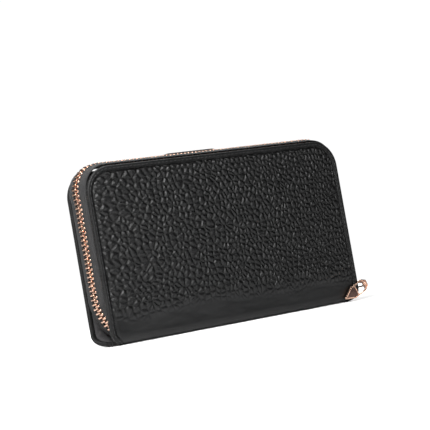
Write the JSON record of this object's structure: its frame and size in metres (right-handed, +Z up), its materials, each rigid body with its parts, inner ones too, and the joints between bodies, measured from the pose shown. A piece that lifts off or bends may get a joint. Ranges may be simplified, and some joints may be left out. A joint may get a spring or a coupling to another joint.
{
  "type": "zip-around long wallet",
  "caption": "Black pebbled leather zip-around long wallet with rose-gold metal zip, card pockets, a zipped coin pocket and a snap tab, standing on its spine.",
  "frame": {"origin": "middle of the flat underside of the spine", "axes": "+X along the width towards the closed slider's end, -Y the front face, +Z up from the spine to the zipped top edge"},
  "size_m": [0.202, 0.0329, 0.1096],
  "materials": {
    "leather": "semi-matt black pebbled leather",
    "lining": "woven lining",
    "pocket": "smooth black leather",
    "board": "stiffener board",
    "tape": "woven black zip tape",
    "zip_metal": "rose-gold plated, polished",
    "slider_metal": "rose-gold plated, polished",
    "snap_metal": "rose-gold plated, satin"
  },
  "bodies": {
    "spine": {"coin_bag": "lining", "coin_stop_left_front": "zip_metal", "coin_stop_left_rear": "zip_metal", "coin_stop_right_front": "zip_metal", "coin_stop_right_rear": "zip_metal", "coin_tape_front": "tape", "coin_tape_rear": "tape", "coin_teeth_front": "zip_metal", "coin_teeth_rear": "zip_metal", "spine_cover": "leather", "spine_lining": "lining"},
    "front_half": {"front_board": "board", "front_card_pocket_1": "pocket", "front_card_pocket_2": "pocket", "front_card_pocket_3": "pocket", "front_card_pocket_4": "pocket", "front_cover": "leather", "front_lining": "lining", "front_stop_start": "zip_metal", "front_teeth": "zip_metal", "front_zip_tape": "tape"},
    "rear_half": {"rear_board": "board", "rear_card_pocket_1": "pocket", "rear_card_pocket_2": "pocket", "rear_card_pocket_3": "pocket", "rear_card_pocket_4": "pocket", "rear_cover": "leather", "rear_lining": "lining", "rear_stop_start": "zip_metal", "rear_teeth": "zip_metal", "rear_zip_tape": "tape", "slip_pocket": "leather", "snap_stud": "snap_metal", "tab_anchor": "leather"},
    "snap_tab": {"snap_tab": "leather", "snap_cap": "snap_metal"},
    "slider": {"slider": "slider_metal"},
    "pull_link": {"pull_link": "slider_metal"},
    "puller": {"puller": "slider_metal"},
    "coin_slider": {"coin_slider": "slider_metal"},
    "coin_pull": {"coin_pull": "slider_metal"}
  },
  "joints": [
    {"name": "front_fold", "type": "hinge", "parent": "spine", "child": "front_half", "pos_m": [0, -0.013, 0.0015], "axis": [1, 0, 0], "range_deg": [0, 80]},
    {"name": "rear_fold", "type": "hinge", "parent": "spine", "child": "rear_half", "pos_m": [0, 0.013, 0.009], "axis": [-1, 0, 0], "range_deg": [0, 80]},
    {"name": "zip_slide", "type": "slide", "parent": "front_half", "child": "slider", "axis": [0, 0, 1], "range_m": [0, 0.066]},
    {"name": "link_swing", "type": "hinge", "parent": "slider", "child": "pull_link", "pos_m": [0.1013, 0, 0.00975], "axis": [0, 0, 1], "range_deg": [0, 90]},
    {"name": "puller_swing", "type": "hinge", "parent": "pull_link", "child": "puller", "pos_m": [0.1013, -0.0146, 0.00975], "axis": [0, 1, 0], "range_deg": [-68, 50]},
    {"name": "tab_fold", "type": "hinge", "parent": "rear_half", "child": "snap_tab", "pos_m": [0, 0.0163, 0.1096], "axis": [1, 0, 0], "range_deg": [0, 110]},
    {"name": "coin_zip_slide", "type": "slide", "parent": "spine", "child": "coin_slider", "axis": [-1, 0, 0], "range_m": [0, 0.128]},
    {"name": "coin_pull_swing", "type": "hinge", "parent": "coin_slider", "child": "coin_pull", "pos_m": [0.062, 0, 0.09175], "axis": [0, 1, 0], "range_deg": [0, 150]}
  ]
}
